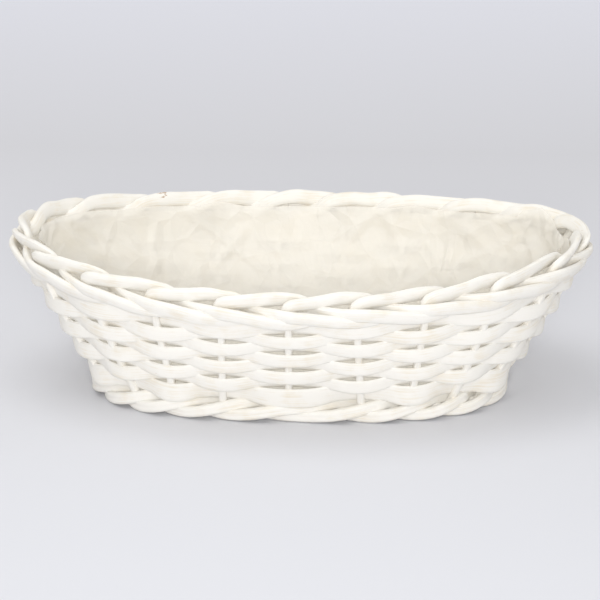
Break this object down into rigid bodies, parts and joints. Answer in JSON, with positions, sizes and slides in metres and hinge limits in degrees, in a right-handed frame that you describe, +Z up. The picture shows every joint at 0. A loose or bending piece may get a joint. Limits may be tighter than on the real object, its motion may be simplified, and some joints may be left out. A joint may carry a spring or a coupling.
{
  "type": "wicker planter",
  "caption": "Oval woven willow planter basket with flared walls, a plaited rolled rim, a waled foot and a thin film liner, painted white.",
  "frame": {"origin": "middle of the basket's box, on the surface that it stands on", "axes": "+X along the basket's length, to the right seen from the front; +Y to the back; +Z up"},
  "size_m": [0.4002, 0.2596, 0.1147],
  "materials": {
    "painted_rod": "white paint on willow rod",
    "painted_strip": "white paint on split willow",
    "film": "clear crinkled film"
  },
  "bodies": {
    "root": {"stake_01": "painted_rod", "stake_02": "painted_rod", "stake_03": "painted_rod", "stake_04": "painted_rod", "stake_05": "painted_rod", "stake_06": "painted_rod", "stake_07": "painted_rod", "stake_08": "painted_rod", "stake_09": "painted_rod", "stake_10": "painted_rod", "stake_11": "painted_rod", "stake_12": "painted_rod", "stake_13": "painted_rod", "stake_14": "painted_rod", "stake_15": "painted_rod", "stake_16": "painted_rod", "stake_17": "painted_rod", "stake_18": "painted_rod", "stake_19": "painted_rod", "stake_20": "painted_rod", "stake_21": "painted_rod", "wale_rod_01": "painted_rod", "wale_rod_02": "painted_rod", "wale_rod_03": "painted_rod", "base_stick_01": "painted_rod", "base_stick_02": "painted_rod", "base_stick_03": "painted_rod", "base_stick_04": "painted_rod", "base_stick_05": "painted_rod", "base_stick_06": "painted_rod", "base_stick_07": "painted_rod", "weaver_01": "painted_strip", "weaver_02": "painted_strip", "weaver_03": "painted_strip", "weaver_04": "painted_strip", "weaver_05": "painted_strip", "weaver_06": "painted_strip", "weaver_07": "painted_strip", "weaver_08": "painted_strip", "base_strip_01": "painted_strip", "base_strip_02": "painted_strip", "base_strip_03": "painted_strip", "base_strip_04": "painted_strip", "base_strip_05": "painted_strip", "base_strip_06": "painted_strip", "base_strip_07": "painted_strip", "base_strip_08": "painted_strip", "base_strip_09": "painted_strip", "base_strip_10": "painted_strip", "base_strip_11": "painted_strip", "film_liner": "film"}
  },
  "joints": []
}
